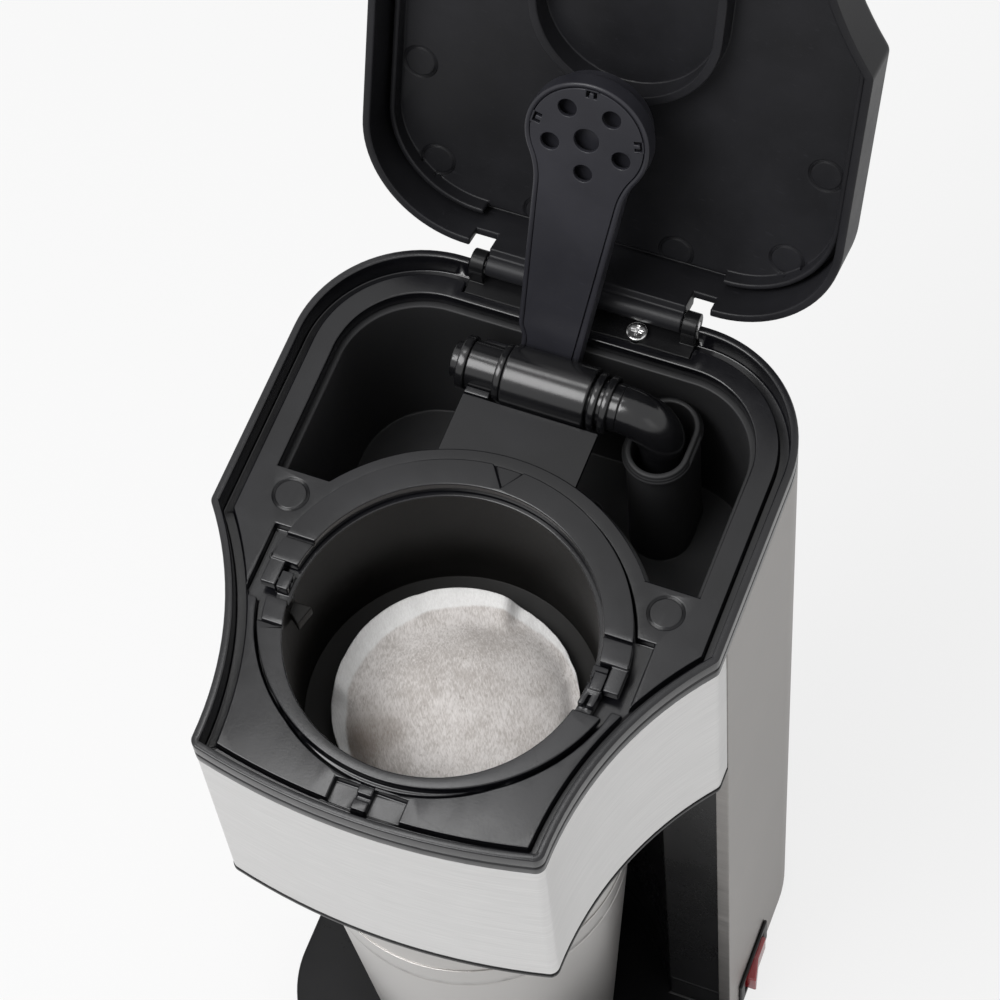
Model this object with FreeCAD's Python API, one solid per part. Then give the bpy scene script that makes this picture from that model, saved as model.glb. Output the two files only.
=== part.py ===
import FreeCAD, Part
import math
import os

# Single-cup drip coffee maker: a waisted steel-wrapped head over a steel mug, an open lid at the back.
# Lengths in millimetres. Height is counted from the table. While the pieces are drawn, y is counted
# from the shoulder line, where the plan is widest; the last step centres the footprint on the origin.
half_width = 72.0
body_height = 309.0
front_half = 48.8
front_depth = 67.5
front_bow = 6.0
rear_depth = 94.0
rear_round = 36.0
corner_round = 3.0
wall = 2.4
sheet = 1.0
gap = 0.3
slip = 0.05

# Head, base and column
head_height = 83.0
frame_height = 9.0
deck_drop = 4.5
rim_width = 2.2
groove_width = 3.0
ledge_width = 5.5
seam_y = 8.5
panel_end_y = 82.0
platform_top = 20.0
base_split = 34.0
base_oval_y = -20.0
base_oval_depth = 50.0
foot_height = 4.0
foot_radius = 7.0

# Brewing basket and pod
basket_y = -14.8
bore_radius = 41.6
flange_radius = 45.9
flange_round = 50.8
flange_shift = 6.2
block_radius = 47.6
bail_inner = 42.9
bail_outer = 50.8
pod_radius = 34.4
pod_x = 0.8
pod_y = -14.8
pod_drop = 49.5

# Spray pipe and arm
pipe_y = 66.0
pipe_drop = 7.0
pipe_radius = 6.75
pipe_left = -23.0
riser_x = 32.0
elbow_bend = 11.0
duct_round = 9.0
duct_half = 4.0
arm_reach = 77.0
arm_head = 17.3
arm_rise = 7.5
arm_thick = 5.7
arm_open = 112.0
neck_left = -12.0
neck_right = 3.9
blade_left = -13.4
blade_right = 13.0
neck_round = 24.0
sleeve_right = 12.4

# Lid
pin_y = 94.0
pin_drop = 1.0
pin_radius = 1.5
lid_depth = 18.2
lid_wall = 2.4
lid_inset = 3.2
lid_open = 110.0
lug_inner = 29.0
lug_outer = 33.2
lug_radius = 3.6
knuckle_radius = 3.2
hinge_screw_left = -12.5
hinge_screw_right = 17.0
boss_radius = 27.0
boss_wall = 2.6
mark_radius = 4.5

# Mug
mug_y = -16.4
mug_radius = 47.2
mug_foot_radius = 36.0
mug_headroom = 24.0
mug_wall = 1.0
collar_height = 18.0
recess_gap = 9.0

# Rocker switch
rock_angle = 16.0

# Flow heater, hoses and mains gland
heater_reach = 40.0
hose_radius = 5.5
hose_bore = 4.5
hose_bend = 8.0
gland_x = -30.0
gland_z = 22.0
gland_radius = 6.0

V = FreeCAD.Vector

frame_low = body_height - frame_height
deck_top = body_height - deck_drop
head_low = body_height - head_height
shell_top = frame_low - gap
pocket = sheet + 0.2
inset = wall + pocket
waist_half = front_half + 0.35 * (half_width - front_half)
waist_y = -0.37 * front_depth
ledge_inset = rim_width + groove_width + ledge_width
pipe_z = body_height - pipe_drop
pin_z = body_height - pin_drop
recess_radius = mug_radius + recess_gap
elbow_x = riser_x - elbow_bend
saddle_half = pipe_radius + 2.25
basket_low = head_low + 10.0
tank_low = head_low + 14.0


def point(x, y):
    return V(x, y, 0)


def line(a, b):
    return Part.LineSegment(a, b).toShape()


def arc(a, b, c):
    return Part.Arc(a, b, c).toShape()


def box(x0, x1, y0, y1, z0, z1):
    return Part.makeBox(x1 - x0, y1 - y0, z1 - z0, V(x0, y0, z0))


def post(x, y, radius, z0, z1):
    return Part.makeCylinder(radius, z1 - z0, V(x, y, z0))


def bar(x0, x1, y, z, radius):
    return Part.makeCylinder(radius, x1 - x0, V(x0, y, z), V(1, 0, 0))


def ring(x, y, inner, outer, z0, z1):
    return post(x, y, outer, z0, z1).cut(post(x, y, inner, z0, z1))


def spun(profile, x, y):
    wire = Part.makePolygon([V(r, 0, z) for r, z in profile + profile[:1]])
    shape = Part.Face(wire).revolve(V(0, 0, 0), V(0, 0, 1), 360)
    shape.translate(V(x, y, 0))
    return shape


def join(shapes):
    return shapes[0].multiFuse(shapes[1:]).removeSplitter()


def drill(shape, cuts):
    for cut in cuts:
        shape = shape.cut(cut)
    return shape


# Plan of the body: straight rear sides, rounded rear corners, concave flanks and a bowed front
def plan_face(off):
    r = rear_round
    side = rear_depth - r
    diag = r * math.sqrt(0.5)
    waist = point(waist_half, waist_y)
    corner = point(front_half, -front_depth)
    edges = [
        line(point(half_width, 0), point(half_width, side)),
        arc(point(half_width, side), point(half_width - r + diag, side + diag),
            point(half_width - r, rear_depth)),
        line(point(half_width - r, rear_depth), point(r - half_width, rear_depth)),
        arc(point(r - half_width, rear_depth), point(r - half_width - diag, side + diag),
            point(-half_width, side)),
        line(point(-half_width, side), point(-half_width, 0)),
        arc(point(-half_width, 0), point(-waist.x, waist.y), point(-corner.x, corner.y)),
        arc(point(-corner.x, corner.y), point(0, corner.y - front_bow), corner),
        arc(corner, waist, point(half_width, 0)),
    ]
    wire = Part.Wire(edges)
    if off > 0:
        wire = wire.makeOffset2D(-off, 2)
    return Part.Face(wire)


def plan_slab(off, z0, z1, corner=corner_round):
    face = plan_face(off)
    face.translate(V(0, 0, z0))
    body = face.extrude(V(0, 0, z1 - z0))
    sharp = []
    for edge in body.Edges:
        a = edge.Vertexes[0].Point
        b = edge.Vertexes[-1].Point
        if abs(a.x - b.x) + abs(a.y - b.y) < 1e-6 and a.y < 0.06 * rear_depth:
            sharp.append(edge)
    return body.makeFillet(max(corner - off, 0.6), sharp)


def plan_band(outer, inner, z0, z1):
    return plan_slab(outer, z0, z1).cut(plan_slab(inner, z0, z1))


def front_of(y, z0, z1):
    return box(-2 * half_width, 2 * half_width, -3 * front_depth, y, z0, z1)


def behind(y, z0, z1):
    return box(-2 * half_width, 2 * half_width, y, 3 * rear_depth, z0, z1)


# Plan of the base: the same rear, straight sides and an oval front under the mug
def base_slab(off, z0, z1):
    w = half_width - off
    r = rear_round - off
    y1 = rear_depth - off
    side = y1 - r
    diag = r * math.sqrt(0.5)
    oval = Part.Ellipse(point(0, base_oval_y), max(w, base_oval_depth - off), min(w, base_oval_depth - off))
    edges = [
        line(point(w, base_oval_y), point(w, side)),
        arc(point(w, side), point(w - r + diag, side + diag), point(w - r, y1)),
        line(point(w - r, y1), point(r - w, y1)),
        arc(point(r - w, y1), point(r - w - diag, side + diag), point(-w, side)),
        line(point(-w, side), point(-w, base_oval_y)),
        Part.ArcOfEllipse(oval, math.pi, 2 * math.pi).toShape(),
    ]
    face = Part.Face(Part.Wire(edges))
    face.translate(V(0, 0, z0))
    return face.extrude(V(0, 0, z1 - z0))


def side_sheet(inner, y0, y1, z0, z1):
    band = plan_slab(0, z0, z1).cut(plan_slab(inner, z0, z1))
    return band.common(box(-2 * half_width, 2 * half_width, y0, y1, z0, z1))


def side_pockets(z0, z1):
    return [side_sheet(pocket, seam_y - sheet - 2 * gap, panel_end_y + gap, z0, z1)]


pieces = {}

# Base: platform in front, open walls under the column
switch_y = seam_y + 20.5
switch_z = 0.5 * base_split
recess = post(0, mug_y, recess_radius, platform_top, head_low + 2)
recess_wall = post(0, mug_y, recess_radius + wall, 0, head_low + 2 + wall)
base = base_slab(0, foot_height - 1, platform_top)
rear_block = plan_slab(0, foot_height - 1, base_split).common(behind(seam_y, 0, base_split))
base = join([base, rear_block])
base = base.cut(base_slab(inset, foot_height - 2, platform_top - wall))
chamber = plan_slab(inset, platform_top - wall - 1, base_split + 1)
chamber = chamber.common(behind(seam_y + wall, 0, base_split + 2)).cut(recess_wall)
base = drill(base, [chamber, recess] + side_pockets(0, base_split + 1))
switch_hole = box(half_width - 12, half_width + 5, switch_y - 11, switch_y + 11,
                  switch_z - 6.5, switch_z + 6.5)
gland_hole = Part.makeCylinder(gland_radius + 0.1, 20, V(gland_x, rear_depth - 10, gland_z), V(0, 1, 0))
base = drill(base, [switch_hole, gland_hole])
pieces["base_shell"] = base

feet_at = []
for x in (-1, 1):
    feet_at.append((x * (half_width - 22), base_oval_y))
    feet_at.append((x * (half_width - 22), rear_depth - 24))
cover_low = foot_height
cover_top = foot_height + wall
cover = base_slab(inset + gap, cover_low, cover_top)
screws_at = []
for x in (-1, 1):
    screws_at.append((x * (half_width - 36), base_oval_y - 10))
    screws_at.append((x * (half_width - 36), rear_depth - 14))
cover = drill(cover, [post(x, y, 1.7, cover_low - 1, cover_top + 1) for x, y in screws_at])
pieces["bottom_cover"] = cover
feet = [post(x, y, foot_radius, 0, foot_height) for x, y in feet_at]
pieces["rubber_feet"] = Part.makeCompound(feet)
screws = []
for x, y in screws_at:
    head = post(x, y, 3.0, cover_low - 1.6, cover_low)
    shank = post(x, y, 1.6, cover_low - 0.1, cover_top + 2.4)
    slot = box(x - 2, x + 2, y - 0.4, y + 0.4, cover_low - 1.7, cover_low - 0.9)
    screws.append(head.fuse(shank).cut(slot))
pieces["bottom_screws"] = Part.makeCompound(screws)

# Column with a round hollow for the mug, and its two steel side panels
column_low = base_split + gap
collar_hole = post(0, basket_y, bail_outer + 2.2, head_low + 2 + wall, body_height)
column = plan_slab(0, column_low, shell_top).common(behind(seam_y, 0, body_height))
column = drill(column, [recess] + side_pockets(0, body_height))
hollow = plan_slab(inset, column_low - 1, shell_top + 1).common(behind(seam_y + wall, 0, body_height))
hollow = hollow.cut(recess_wall)
column = drill(column, [hollow, collar_hole])
pieces["column_shell"] = column
panel_low = foot_height
panels = side_sheet(sheet, seam_y - sheet - gap, panel_end_y, panel_low, shell_top)
for name, sign in (("side_panel_left", -1), ("side_panel_right", 1)):
    x0, x1 = sorted((0, 2 * sign * half_width))
    panel = panels.common(box(x0, x1, -front_depth, rear_depth, 0, body_height))
    x0, x1 = sorted((sign * (half_width - 4), sign * half_width))
    lip = box(x0, x1, seam_y - sheet - gap, seam_y - gap, platform_top + gap, head_low - 2)
    panel = panel.fuse(lip).removeSplitter()
    if sign > 0:
        panel = panel.cut(switch_hole)
    pieces[name] = panel

# Head: plastic shell with a floor, the steel wrap around it and a trim lip under the wrap
head_end = seam_y - sheet - 2 * gap
head = plan_slab(sheet + 0.4, head_low + 2, shell_top).common(front_of(head_end, 0, body_height))
head = head.cut(plan_slab(sheet + 0.4 + wall, head_low + 2 + wall, body_height))
head = head.cut(post(0, basket_y, 13, head_low, head_low + 10))
pieces["head_shell"] = head
wrap = plan_band(0.2, sheet + 0.2, head_low + 1, shell_top).common(front_of(head_end, 0, body_height))
pieces["head_wrap"] = wrap
trim = plan_band(0.0, 5.0, head_low - 1.2, head_low + 0.8).common(front_of(head_end, 0, body_height))
pieces["head_trim"] = trim


# Top frame: rim, groove, deck with the basket seat and latch pocket, ledge around the tank
def tank_slab(extra, z0, z1):
    slab = plan_slab(ledge_inset + extra, z0, z1)
    slab = slab.common(behind(2 * seam_y + extra, 0, 2 * body_height))
    return slab.cut(post(0, basket_y, bail_outer + 4.2 + extra, 0, 2 * body_height))


seat_z = frame_low + 1.7
frame = plan_slab(0, frame_low, body_height)
frame = frame.cut(plan_slab(rim_width, deck_top, body_height + 1))
moat = plan_band(rim_width, rim_width + groove_width, frame_low + 1.6, deck_top + 1)
line_cut = plan_band(0, 0.8, body_height - 5.4, body_height - 4.6)
seat_ring = post(0, basket_y, flange_radius + 0.6, seat_z, body_height)
front_ring = post(0, basket_y + flange_shift, flange_round + 0.7, seat_z, body_height)
front_ring = front_ring.common(front_of(basket_y - 3, 0, 2 * body_height))
bail_ring = post(0, basket_y, bail_outer + 0.6, seat_z, body_height)
bail_ring = bail_ring.common(behind(basket_y - 3, 0, 2 * body_height))
finger_half = bail_outer + 3.2
finger = box(-finger_half, finger_half, basket_y - 6, basket_y + 16, seat_z, body_height)
notch_half = lug_outer + gap
notch = box(-notch_half, notch_half, rear_depth - 8.5, rear_depth + 1, frame_low + 2, body_height + 1)
discs = []
for x in (-1, 1):
    x = x * (finger_half - 0.4)
    discs.append(ring(x, 1.25 * seam_y, mark_radius, mark_radius + 0.4, deck_top - 0.3, deck_top))
latch_y0 = -front_depth - 1.2
latch_y1 = basket_y - flange_radius - 0.9
latch = box(-10.5, 9.5, latch_y0, latch_y1, frame_low + 2, deck_top + 1)
frame = drill(frame, [moat, line_cut, tank_slab(0.8, 0, 2 * body_height), seat_ring])
frame = drill(frame, [front_ring, bail_ring])
frame = drill(frame, [finger, notch, latch] + discs)
frame = frame.cut(post(0, basket_y, bore_radius + 2.6, 0, body_height))
catch = box(-3.6, 0.6, latch_y0, latch_y1, frame_low + 1, deck_top + 0.6)
catch = catch.cut(box(-5, 2, latch_y0 + 3, latch_y0 + 4.6, deck_top - 1.2, deck_top + 1))
bridge_y = basket_y + bail_outer - 6
bridge = box(pipe_left + 1, elbow_x - 3.5, bridge_y, pipe_y - saddle_half - gap, frame_low, frame_low + 2)
bridge = bridge.cut(post(0, basket_y, bail_outer + 2, 0, body_height))
frame = join([frame, catch, bridge])
hinge_screws_at = ((hinge_screw_left, rear_depth - 5.4), (hinge_screw_right, rear_depth - 5.4))
frame = drill(frame, [post(x, y, 1.5, 0, body_height) for x, y in hinge_screws_at])
pieces["top_frame"] = frame

# Two half rounds joined by a straight run in y
def racetrack(x, y0, y1, radius, z0, z1):
    ends = [post(x, y0, radius, z0, z1), post(x, y1, radius, z0, z1)]
    return join(ends + [box(x - radius, x + radius, y0, y1, z0, z1)])


# Tank, open to the top, with a spigot for the inlet hose and an oblong duct around the riser
tank = tank_slab(0, tank_low, shell_top).cut(tank_slab(wall, tank_low + wall, body_height))
elbow_z = pipe_z - elbow_bend
duct_y0 = pipe_y - duct_half + 1
duct_y1 = pipe_y + duct_half + 1
duct = racetrack(riser_x, duct_y0, duct_y1, duct_round, tank_low + 1, elbow_z)
duct = duct.fuse(racetrack(riser_x, duct_y0, duct_y1, duct_round + 0.9, elbow_z - 3, elbow_z - 1.4))
duct = duct.cut(racetrack(riser_x, duct_y0, duct_y1, duct_round - 1.6, tank_low + wall, body_height))
tank = join([tank, duct])
spigot_x = riser_x - 22
spigot_y = pipe_y - 4
tank = tank.fuse(post(spigot_x, spigot_y, 6, tank_low - 10, tank_low + 0.5))
tank = drill(tank, [post(spigot_x, spigot_y, 4, tank_low - 20, tank_low + 10)])
tank = tank.cut(post(riser_x, pipe_y, 6 + slip, tank_low - 1, tank_low + 10))
pieces["water_tank"] = tank.removeSplitter()

# Riser, elbow and spray pipe
pipe_bore = pipe_radius - 1.7
pieces["riser_pipe"] = ring(riser_x, pipe_y, 4.4, 6, tank_low - 16, elbow_z)


def bend_solid(radius):
    circle = Part.Wire(Part.makeCircle(radius, V(riser_x, pipe_y, elbow_z), V(0, 0, 1)))
    return Part.Face(circle).revolve(V(elbow_x, pipe_y, elbow_z), V(0, -1, 0), 90)


pieces["elbow_pipe"] = bend_solid(pipe_radius).cut(bend_solid(pipe_bore))
pipe = bar(pipe_left, elbow_x, pipe_y, pipe_z, pipe_radius)
pipe = pipe.cut(bar(pipe_left, elbow_x, pipe_y, pipe_z, pipe_bore))
pipe = pipe.cut(post(-3, pipe_y, 3, pipe_z, pipe_z + pipe_radius + 1))
pieces["spray_pipe"] = pipe
cap = bar(pipe_left - 2.5, pipe_left, pipe_y, pipe_z, pipe_radius + 0.9)
cap = cap.fuse(bar(pipe_left - 5, pipe_left - 2, pipe_y, pipe_z, pipe_radius - 1.6))
pieces["pipe_cap"] = cap.removeSplitter()
seals = []
for x in (pipe_left + 8.6, elbow_x - 8, elbow_x - 4.7):
    seal = bar(x, x + 2.2, pipe_y, pipe_z, pipe_radius + 1.5)
    seals.append(seal.cut(bar(x - 1, x + 4, pipe_y, pipe_z, pipe_radius)))
pieces["pipe_seals"] = Part.makeCompound(seals)
saddle = box(pipe_left + 1, pipe_left + 8.2, pipe_y - saddle_half, pipe_y + saddle_half,
             pipe_z - pipe_radius - 3, pipe_z)
tongue = box(pipe_left + 1, pipe_left + 8.2, pipe_y - 20, pipe_y - 8, frame_low - 3, frame_low)
saddle = join([saddle, tongue]).cut(bar(-half_width, half_width, pipe_y, pipe_z, pipe_radius + slip))
pieces["pipe_saddle"] = saddle

# Hinge on the rear ledge
plate = box(-lug_outer, lug_outer, rear_depth - 8.2, rear_depth - 0.4, frame_low + 2, frame_low + 3.6)
lugs = []
for x0, x1 in ((-lug_outer, -lug_inner), (lug_inner, lug_outer)):
    lugs.append(box(x0, x1, pin_y - 4, pin_y - 0.4, frame_low + 2, pin_z))
    lugs.append(bar(x0, x1, pin_y, pin_z, lug_radius))
bracket = join([plate] + lugs).cut(bar(-lug_outer - 1, lug_outer + 1, pin_y, pin_z, pin_radius))
bracket = drill(bracket, [post(x, y, 1.5, 0, body_height) for x, y in hinge_screws_at])
pieces["hinge_bracket"] = bracket
pieces["hinge_pin"] = bar(-lug_outer, lug_outer, pin_y, pin_z, pin_radius)
screws = []
for x, y in hinge_screws_at:
    top = frame_low + 3.6
    screw = join([post(x, y, 2.9, top, top + 1.8), post(x, y, 1.4, frame_low, top + 0.5)])
    cross = box(x - 1.7, x + 1.7, y - 0.35, y + 0.35, top + 0.9, top + 2)
    cross = cross.fuse(box(x - 0.35, x + 0.35, y - 1.7, y + 1.7, top + 0.9, top + 2))
    screws.append(screw.cut(cross))
pieces["hinge_screws"] = Part.makeCompound(screws)

# Flow heater lying in the bottom of the column, with its clip, thermostat and fuse
heat_low = cover_top + 3
heat_top = heat_low + 13
heat_y0 = pipe_y - 10
heat_y1 = pipe_y + 10
heat_left = 12 - heater_reach
bend = ring(heat_left, pipe_y, 4, 16, heat_low, heat_top)
bend = bend.common(box(-2 * heater_reach, heat_left, 0, 2 * pipe_y, 0, heat_top))
legs = [bend]
for y in (heat_y0, heat_y1):
    legs.append(box(heat_left, heater_reach - 8, y - 6, y + 6, heat_low, heat_top))
heater = join(legs)
heat_mid = 0.5 * (heat_low + heat_top)
stubs = [bar(heater_reach - 9, heater_reach + 4, y, heat_mid, hose_bore) for y in (heat_y0, heat_y1)]
heater = join([heater] + stubs)
for y in (heat_y0, heat_y1):
    heater = heater.cut(bar(heat_left, heater_reach + 5, y, heat_mid, 3))
pieces["flow_heater"] = heater
clip = box(-6, 6, heat_y0 - 8, heat_y1 + 8, heat_top, heat_top + 1.2)
for y in (heat_y0 - 8, heat_y1 + 7):
    clip = clip.fuse(box(-6, 6, y, y + 1, cover_top, heat_top + 1.2))
pieces["heater_clip"] = clip.removeSplitter()
can = post(18, heat_y0, 5.5, heat_top, heat_top + 5)
pieces["thermostat"] = join([can, post(18, heat_y0, 3.5, heat_top + 4.5, heat_top + 9)])
pieces["thermal_fuse"] = bar(12, 30, heat_y1, heat_top + 2.5, 2.5)


# Hoses follow their bends as one round tube
def hose(points, radius, bore, bend_radius):
    edges = []
    last = points[0]
    for a, b, c in zip(points, points[1:], points[2:]):
        u = (a - b).normalize()
        w = (c - b).normalize()
        turn = math.pi - u.getAngle(w)
        reach = bend_radius * math.tan(turn / 2)
        p = b + u * reach
        q = b + w * reach
        half = (u + w).normalize()
        mid = b + half * (bend_radius / math.cos(turn / 2) - bend_radius)
        edges.append(Part.LineSegment(last, p).toShape())
        edges.append(Part.Arc(p, mid, q).toShape())
        last = q
    edges.append(Part.LineSegment(last, points[-1]).toShape())
    path = Part.Wire(edges)
    way = points[1] - points[0]
    outer = path.makePipeShell([Part.Wire(Part.makeCircle(radius, points[0], way))], True, True)
    inner = path.makePipeShell([Part.Wire(Part.makeCircle(bore, points[0], way))], True, True)
    return outer.cut(inner)


valve_z = base_split + 60
elbow_out = heater_reach + 13
stub_end = heater_reach + 4
inlet = [V(spigot_x, spigot_y, valve_z), V(spigot_x, spigot_y, 60), V(elbow_out, heat_y0, 50),
         V(elbow_out, heat_y0, heat_mid), V(stub_end, heat_y0, heat_mid)]
pieces["inlet_hose"] = hose(inlet, hose_radius, hose_bore, hose_bend)
valve = [(0.8, 0.3), (7.5, 0.3), (7.5, 16), (hose_radius, 20), (hose_radius, 26), (3, 26), (3, 4), (0.8, 4)]
pieces["check_valve"] = spun([(r, valve_z + z) for r, z in valve], spigot_x, spigot_y)
pieces["tank_hose"] = ring(spigot_x, spigot_y, 6 + slip, 7.8, valve_z + 27, tank_low - 0.5)
outlet = [V(stub_end, heat_y1, heat_mid), V(elbow_out, heat_y1, heat_mid), V(elbow_out, heat_y1, 62),
          V(riser_x, pipe_y, 80), V(riser_x, pipe_y, tank_low - 16)]
pieces["outlet_hose"] = hose(outlet, hose_radius, hose_bore, hose_bend)

# Power inlet gland and the rocker switch on the right side panel
gland = Part.makeCylinder(gland_radius, inset + 3, V(gland_x, rear_depth - inset - 3, gland_z), V(0, 1, 0))
gland = gland.fuse(Part.makeCylinder(gland_radius + 2.5, 4, V(gland_x, rear_depth, gland_z), V(0, 1, 0)))
gland = gland.cut(Part.makeCylinder(3.4, 60, V(gland_x, rear_depth - 30, gland_z), V(0, 1, 0)))
pieces["cable_gland"] = gland.removeSplitter()
bezel_x = half_width
bezel = box(bezel_x, bezel_x + 1.2, switch_y - 13, switch_y + 13, switch_z - 8.5, switch_z + 8.5)
bezel = bezel.makeFillet(2.0, [e for e in bezel.Edges if abs(e.tangentAt(e.FirstParameter).x) > 0.99])
can = box(bezel_x - 11.5, bezel_x + 0.6, switch_y - 10.7, switch_y + 10.7, switch_z - 6.2, switch_z + 6.2)
bezel = join([bezel, can])
bezel = bezel.cut(box(bezel_x - 8.5, bezel_x + 5, switch_y - 9.5, switch_y + 9.5,
                      switch_z - 5.2, switch_z + 5.2))
pin = Part.makeCylinder(1.2, 13, V(bezel_x - 2, switch_y, switch_z - 6.5), V(0, 0, 1))
bezel = bezel.cut(pin)
pieces["switch_housing"] = bezel
rock_reach = 8.0
rock_high = 6.4
rock_low = rock_high + 0.3 - rock_reach * math.tan(math.radians(rock_angle))
outline = [V(0, -rock_reach, 0), V(rock_high, -rock_reach, 0), V(0.5 * (rock_high + rock_low) - 0.9, 0, 0),
           V(rock_low, rock_reach, 0), V(0, rock_reach, 0)]
wedge = Part.Face(Part.makePolygon(outline + outline[:1])).extrude(V(0, 0, 9.4))
wedge.translate(V(bezel_x - 2, switch_y, switch_z - 4.7))
belly = post(bezel_x - 2, switch_y, 5.5, switch_z - 4.7, switch_z + 4.7)
stub = post(bezel_x - 2, switch_y, 1.2 - slip, switch_z - 5.8, switch_z + 5.8)
belly = belly.common(box(bezel_x - 8, bezel_x - 1.9, 0, rear_depth, 0, base_split))
pieces["switch_rocker"] = join([wedge, belly, stub])


# Lid drawn closed, then swung open on its pin
def swing(shape, y, z, degrees):
    shape = shape.copy()
    shape.rotate(V(0, y, z), V(-1, 0, 0), degrees)
    return shape


lid_low = body_height + 0.6
lid_top = lid_low + lid_depth
liner_top = lid_top - lid_wall - 0.1
lid_corner = corner_round + lid_inset
lid_rear = rear_depth - lid_inset
liner_inset = lid_inset + lid_wall + 1.6
shell = plan_slab(lid_inset, lid_low, lid_top, lid_corner)
top_edges = [e for e in shell.Edges if e.BoundBox.ZMin > lid_top - 0.01]
shell = shell.makeFillet(4.0, top_edges)
shell = shell.cut(plan_slab(lid_inset + lid_wall, lid_low - 1, lid_top - lid_wall, lid_corner))
relief = box(-lug_outer - 2, lug_outer + 2, lid_rear - lid_wall - 3, rear_depth + 1,
             lid_low - 1, lid_low + 5.5)
shell = shell.cut(relief)
knuckle_half = lug_inner - gap
web = box(-knuckle_half, knuckle_half, lid_rear - lid_wall, rear_depth, pin_z, lid_low + 7)
knuckle = join([web, bar(-knuckle_half, knuckle_half, pin_y, pin_z, knuckle_radius)])
shell = join([shell, knuckle]).cut(bar(-half_width, half_width, pin_y, pin_z, pin_radius + slip))
pieces["lid_shell"] = swing(shell, pin_y, pin_z, lid_open)
liner = plan_slab(liner_inset, liner_top - 1.6, liner_top)
lip = plan_band(liner_inset, liner_inset + 1.6, liner_top - 6, liner_top - 1)
lip = lip.cut(box(-lug_outer - 2, lug_outer + 2, lid_rear - 14, lid_rear, 0, 2 * body_height))
boss_y1 = pin_y - 86
boss_y0 = boss_y1 - 10
boss = racetrack(0, boss_y0, boss_y1, boss_radius, liner_top - 8.6, liner_top - 1)
boss = boss.cut(racetrack(0, boss_y0, boss_y1, boss_radius - boss_wall, 0, 2 * body_height))
liner_low = liner_top - 1.6
marks = []
for x, reach in ((-51, 18), (51, 18), (-58, 49), (58, 49), (-20, 10), (20, 10), (-40, 118), (40, 118)):
    marks.append(ring(x, pin_y - reach, mark_radius, mark_radius + 0.4, liner_low - 1, liner_low + 0.3))
liner = drill(join([liner, lip, boss]), marks)
pieces["lid_liner"] = swing(liner, pin_y, pin_z, lid_open)

# Spray arm drawn lowered over the basket, then swung up with its plate
arm_low = pipe_z + arm_rise
arm_top = arm_low + arm_thick
head_y = pipe_y - arm_reach


# Blade: a neck that widens into the round head, eased in by large hollows
def paddle(off, z0, z1):
    near = pipe_y + 4 - 3 * off
    far = head_y + 0.3 * arm_head
    shoulder = pipe_y - pipe_radius - 1.75
    corners = [V(neck_left + off, near, z0), V(neck_right - off, near, z0), V(blade_right - off, far, z0),
               V(blade_left + off, far, z0), V(blade_left + off, shoulder - 4, z0),
               V(neck_left + off, shoulder, z0)]
    neck = Part.Face(Part.makePolygon(corners + corners[:1])).extrude(V(0, 0, z1 - z0))
    blade = join([neck, post(0, head_y, arm_head - off, z0, z1)])
    hollows = []
    for edge in blade.Edges:
        low = edge.BoundBox
        if low.ZLength > 0.9 * (z1 - z0) and low.YLength < 1e-6 and far < low.YMin < shoulder - 5:
            hollows.append(edge)
    return blade.makeFillet(neck_round + off, hollows)


dome = post(0, head_y, arm_head - 2, arm_top - 1, arm_top + 5)
sleeve = bar(neck_left, sleeve_right, pipe_y, pipe_z, pipe_radius + 2.2)
arm = join([paddle(0, arm_low, arm_top), dome, sleeve])
arm = arm.cut(bar(neck_left - 1, sleeve_right + 1, pipe_y, pipe_z, pipe_radius + slip))
tray = paddle(1.5, arm_low - 1, arm_top - 1.5)
tray = tray.cut(bar(-half_width, half_width, pipe_y, pipe_z, pipe_radius + 2.2))
arm = arm.cut(tray)
arm = arm.cut(post(-3, pipe_y - 3, 2, pipe_z + 2, arm_top - 1.5))
pieces["spray_arm"] = swing(arm, pipe_y, pipe_z, arm_open)
spray = paddle(1.6, arm_low, arm_low + 1.4)
spray = spray.cut(bar(-half_width, half_width, pipe_y, pipe_z, pipe_radius + 2.3))
holes = [post(0, head_y, 3.5, 0, 2 * body_height)]
for n in range(5):
    turn = math.radians(270 + 72 * n)
    holes.append(post(10.4 * math.cos(turn), head_y - 10.4 * math.sin(turn), 2.6, 0, 2 * body_height))
for turn in (-78, 0, 80):
    window = box(-1.5, 1.5, -14.4 - 1.2, -14.4 + 1.2, 0, 2 * body_height)
    window = window.cut(box(-0.6, 0.6, -14.4 - 0.4, -14.4 + 1.3, 0, 2 * body_height))
    window.rotate(V(0, 0, 0), V(0, 0, 1), turn)
    window.translate(V(0, head_y, 0))
    holes.append(window)
spray = drill(spray, holes)
pieces["spray_plate"] = swing(spray, pipe_y, pipe_z, arm_open)

# Lift-out basket with a funnel floor, pivot lugs and a folded bail
seat_top = seat_z + gap
step_z = seat_top + 1.6
flange_top = body_height - 2.7
pod_floor = body_height - pod_drop - 3
cup = spun([(bore_radius, seat_top), (bore_radius, pod_floor), (5, pod_floor - 8), (5, basket_low),
            (7.4, basket_low), (7.4, pod_floor - 10), (bore_radius + 2, pod_floor - 2.5),
            (bore_radius + 2, seat_top)], 0, basket_y)
low_flange = ring(0, basket_y, bore_radius, flange_radius, seat_top, step_z)
front_flange = ring(0, basket_y, bore_radius, flange_radius, step_z - 0.1, flange_top)
front_flange = front_flange.common(post(0, basket_y + flange_shift, flange_round, 0, body_height))
left_end = box(-half_width, 0, -front_depth, basket_y - 5.2, 0, body_height)
right_end = box(0, half_width, -front_depth, basket_y + 4.6, 0, body_height)
front_flange = front_flange.common(join([left_end, right_end]))
wide = post(0, basket_y + flange_shift, flange_round, step_z - 0.1, flange_top)
wide = wide.cut(post(0, basket_y, bore_radius, 0, body_height))
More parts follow.
